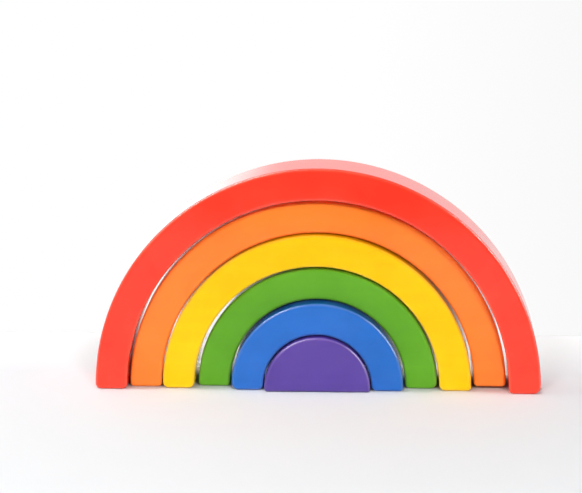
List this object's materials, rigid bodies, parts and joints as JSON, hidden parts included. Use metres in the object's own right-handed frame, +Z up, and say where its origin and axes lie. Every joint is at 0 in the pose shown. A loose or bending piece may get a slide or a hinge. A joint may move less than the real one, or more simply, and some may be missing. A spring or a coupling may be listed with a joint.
{
  "type": "rainbow stacker",
  "caption": "Nested wooden rainbow toy: loose lacquered arches stand over a solid half disc, and each arch lifts off the one inside it for stacking.",
  "frame": {"origin": "middle of the half disc's flat underside, on the surface the set stands on", "axes": "+X along the width, to the right seen from the front; +Y towards the back; +Z up"},
  "size_m": [0.2009, 0.0406, 0.1013],
  "materials": {
    "purple_lacquer": "gloss lacquer over sanded wood",
    "blue_lacquer": "gloss lacquer over sanded wood",
    "green_lacquer": "gloss lacquer over sanded wood",
    "yellow_lacquer": "gloss lacquer over sanded wood",
    "orange_lacquer": "gloss lacquer over sanded wood",
    "red_lacquer": "gloss lacquer over sanded wood"
  },
  "bodies": {
    "purple": {"purple_half_disc": "purple_lacquer"},
    "blue": {"blue_arch": "blue_lacquer"},
    "green": {"green_arch": "green_lacquer"},
    "yellow": {"yellow_arch": "yellow_lacquer"},
    "orange": {"orange_arch": "orange_lacquer"},
    "red": {"red_arch": "red_lacquer"}
  },
  "joints": [
    {"name": "blue_lift", "type": "slide", "parent": "purple", "child": "blue", "axis": [0, 0, 1], "range_m": [0, 0.03]},
    {"name": "green_lift", "type": "slide", "parent": "blue", "child": "green", "axis": [0, 0, 1], "range_m": [0, 0.045]},
    {"name": "yellow_lift", "type": "slide", "parent": "green", "child": "yellow", "axis": [0, 0, 1], "range_m": [0, 0.06]},
    {"name": "orange_lift", "type": "slide", "parent": "yellow", "child": "orange", "axis": [0, 0, 1], "range_m": [0, 0.075]},
    {"name": "red_lift", "type": "slide", "parent": "orange", "child": "red", "axis": [0, 0, 1], "range_m": [0, 0.09]}
  ]
}
